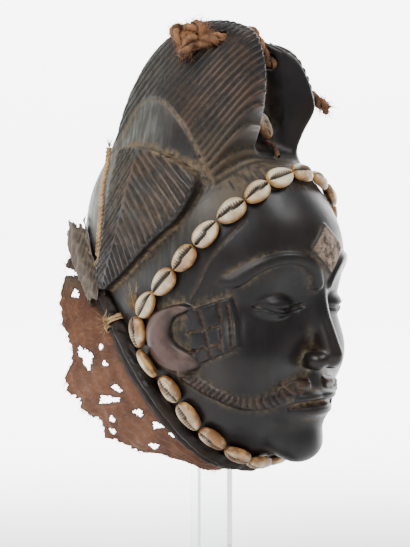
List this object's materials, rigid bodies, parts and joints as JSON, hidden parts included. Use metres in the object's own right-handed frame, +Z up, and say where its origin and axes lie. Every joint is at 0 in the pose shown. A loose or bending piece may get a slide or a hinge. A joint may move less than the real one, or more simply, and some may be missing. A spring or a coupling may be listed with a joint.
{
  "type": "carved helmet mask on stand",
  "caption": "Carved dark wood helmet mask with a two-lobed crest, cowrie rows, rope and bark-cloth collar, held upright on a clear stand.",
  "frame": {"origin": "centre of the foot plate's underside", "axes": "+Z up, the mask's face looks along -Y, +X is the mask's own left"},
  "size_m": [0.1684, 0.2105, 0.4182],
  "materials": {
    "dark_wood": "rubbed dark satin with dust in the cuts",
    "cowrie_shell": "aged ivory shell, softly glossy",
    "rope_fibre": "rough twisted fibre",
    "raffia": "dry braided fibre",
    "dark_hem": "dark rolled cloth, slightly shiny from handling",
    "bark_cloth": "matte felted bark cloth with worn holes",
    "clear_acrylic": "polished clear"
  },
  "bodies": {
    "root": {"mask": "dark_wood", "rope": "rope_fibre", "hem": "dark_hem", "cloth": "bark_cloth", "string": "raffia", "crest_cord": "raffia", "post": "clear_acrylic", "foot": "clear_acrylic", "cowrie_01": "cowrie_shell", "cowrie_02": "cowrie_shell", "cowrie_03": "cowrie_shell", "cowrie_04": "cowrie_shell", "cowrie_05": "cowrie_shell", "cowrie_06": "cowrie_shell", "cowrie_07": "cowrie_shell", "cowrie_08": "cowrie_shell", "cowrie_09": "cowrie_shell", "cowrie_10": "cowrie_shell", "cowrie_11": "cowrie_shell", "cowrie_12": "cowrie_shell", "cowrie_13": "cowrie_shell", "cowrie_14": "cowrie_shell", "cowrie_15": "cowrie_shell", "cowrie_16": "cowrie_shell", "cowrie_17": "cowrie_shell", "cowrie_18": "cowrie_shell", "cowrie_19": "cowrie_shell", "cowrie_20": "cowrie_shell", "cowrie_21": "cowrie_shell", "cowrie_22": "cowrie_shell", "cowrie_23": "cowrie_shell", "cowrie_24": "cowrie_shell", "cowrie_25": "cowrie_shell", "cowrie_26": "cowrie_shell", "cowrie_27": "cowrie_shell", "cowrie_28": "cowrie_shell", "cowrie_29": "cowrie_shell", "crest_cowrie_1": "cowrie_shell", "crest_cowrie_2": "cowrie_shell"}
  },
  "joints": []
}
